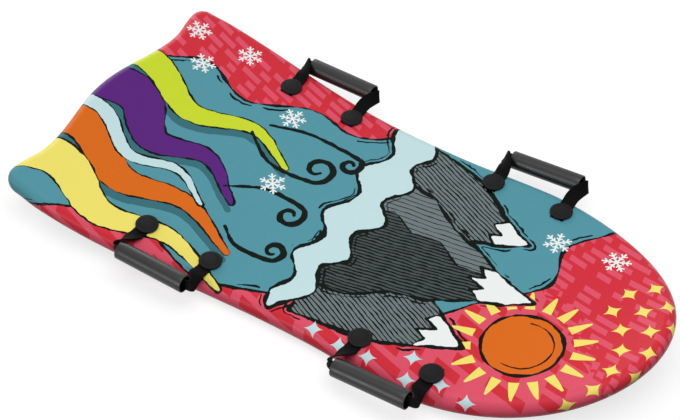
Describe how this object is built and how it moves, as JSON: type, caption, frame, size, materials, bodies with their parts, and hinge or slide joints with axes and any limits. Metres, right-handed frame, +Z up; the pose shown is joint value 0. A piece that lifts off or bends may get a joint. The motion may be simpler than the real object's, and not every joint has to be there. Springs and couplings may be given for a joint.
{
  "type": "foam snow sled with strap handles",
  "caption": "Lie-down foam snow sled with upswept nose and tail, printed film deck, slick underside and swinging webbing handles with tube grips.",
  "frame": {"origin": "under the middle of the board's overall length and width, at the level of its flat running surface", "axes": "+X to the nose, +Y to the rider's left, +Z up out of the deck"},
  "size_m": [0.9998, 0.5292, 0.0854],
  "materials": {
    "printed_film": "glossy printed polyethylene film, heat-bonded over the deck and rails",
    "closed_cell_foam": "closed-cell polystyrene or polyethylene foam",
    "slick_sheet": "smooth high-density polyethylene sheet",
    "black_webbing": "woven black polypropylene webbing",
    "black_rivet_plastic": "charcoal moulded nylon, satin",
    "black_soft_tube": "smooth soft vinyl tube, half gloss"
  },
  "bodies": {
    "board": {"deck_skin": "printed_film", "foam_core": "closed_cell_foam", "slick_bottom": "slick_sheet", "cap_front_left_aft": "black_rivet_plastic", "cap_front_left_fore": "black_rivet_plastic", "cap_front_right_aft": "black_rivet_plastic", "cap_front_right_fore": "black_rivet_plastic", "cap_rear_left_aft": "black_rivet_plastic", "cap_rear_left_fore": "black_rivet_plastic", "cap_rear_right_aft": "black_rivet_plastic", "cap_rear_right_fore": "black_rivet_plastic", "base_front_left_aft": "black_rivet_plastic", "base_front_left_fore": "black_rivet_plastic", "base_front_right_aft": "black_rivet_plastic", "base_front_right_fore": "black_rivet_plastic", "base_rear_left_aft": "black_rivet_plastic", "base_rear_left_fore": "black_rivet_plastic", "base_rear_right_aft": "black_rivet_plastic", "base_rear_right_fore": "black_rivet_plastic", "tab_front_left_aft": "black_webbing", "tab_front_left_fore": "black_webbing", "tab_front_right_aft": "black_webbing", "tab_front_right_fore": "black_webbing", "tab_rear_left_aft": "black_webbing", "tab_rear_left_fore": "black_webbing", "tab_rear_right_aft": "black_webbing", "tab_rear_right_fore": "black_webbing"},
    "handle_front_left": {"strap_front_left": "black_webbing"},
    "tube_front_left": {"grip_front_left": "black_soft_tube"},
    "handle_front_right": {"strap_front_right": "black_webbing"},
    "tube_front_right": {"grip_front_right": "black_soft_tube"},
    "handle_rear_left": {"strap_rear_left": "black_webbing"},
    "tube_rear_left": {"grip_rear_left": "black_soft_tube"},
    "handle_rear_right": {"strap_rear_right": "black_webbing"},
    "tube_rear_right": {"grip_rear_right": "black_soft_tube"}
  },
  "joints": [
    {"name": "swing_front_left", "type": "hinge", "parent": "board", "child": "handle_front_left", "pos_m": [0.18296, 0.21057, 0.03906], "axis": [0.9998, 0, 0.0179], "range_deg": [0, 105]},
    {"name": "roll_front_left", "type": "hinge", "parent": "handle_front_left", "child": "tube_front_left", "pos_m": [0.18289, 0.25056, 0.04306], "axis": [0.9961, 0, 0.0887], "continuous": true},
    {"name": "swing_front_right", "type": "hinge", "parent": "board", "child": "handle_front_right", "pos_m": [0.18296, -0.21057, 0.03906], "axis": [-0.9998, 0, -0.0179], "range_deg": [0, 105]},
    {"name": "roll_front_right", "type": "hinge", "parent": "handle_front_right", "child": "tube_front_right", "pos_m": [0.18289, -0.25056, 0.04306], "axis": [0.9961, 0, 0.0887], "continuous": true},
    {"name": "swing_rear_left", "type": "hinge", "parent": "board", "child": "handle_rear_left", "pos_m": [-0.19784, 0.21057, 0.0443], "axis": [0.997, 0, -0.078], "range_deg": [0, 105]},
    {"name": "roll_rear_left", "type": "hinge", "parent": "handle_rear_left", "child": "tube_rear_left", "pos_m": [-0.19753, 0.25056, 0.04829], "axis": [1, 0, -0.0072], "continuous": true},
    {"name": "swing_rear_right", "type": "hinge", "parent": "board", "child": "handle_rear_right", "pos_m": [-0.19784, -0.21057, 0.0443], "axis": [-0.997, 0, 0.078], "range_deg": [0, 105]},
    {"name": "roll_rear_right", "type": "hinge", "parent": "handle_rear_right", "child": "tube_rear_right", "pos_m": [-0.19753, -0.25056, 0.04829], "axis": [1, 0, -0.0072], "continuous": true}
  ]
}
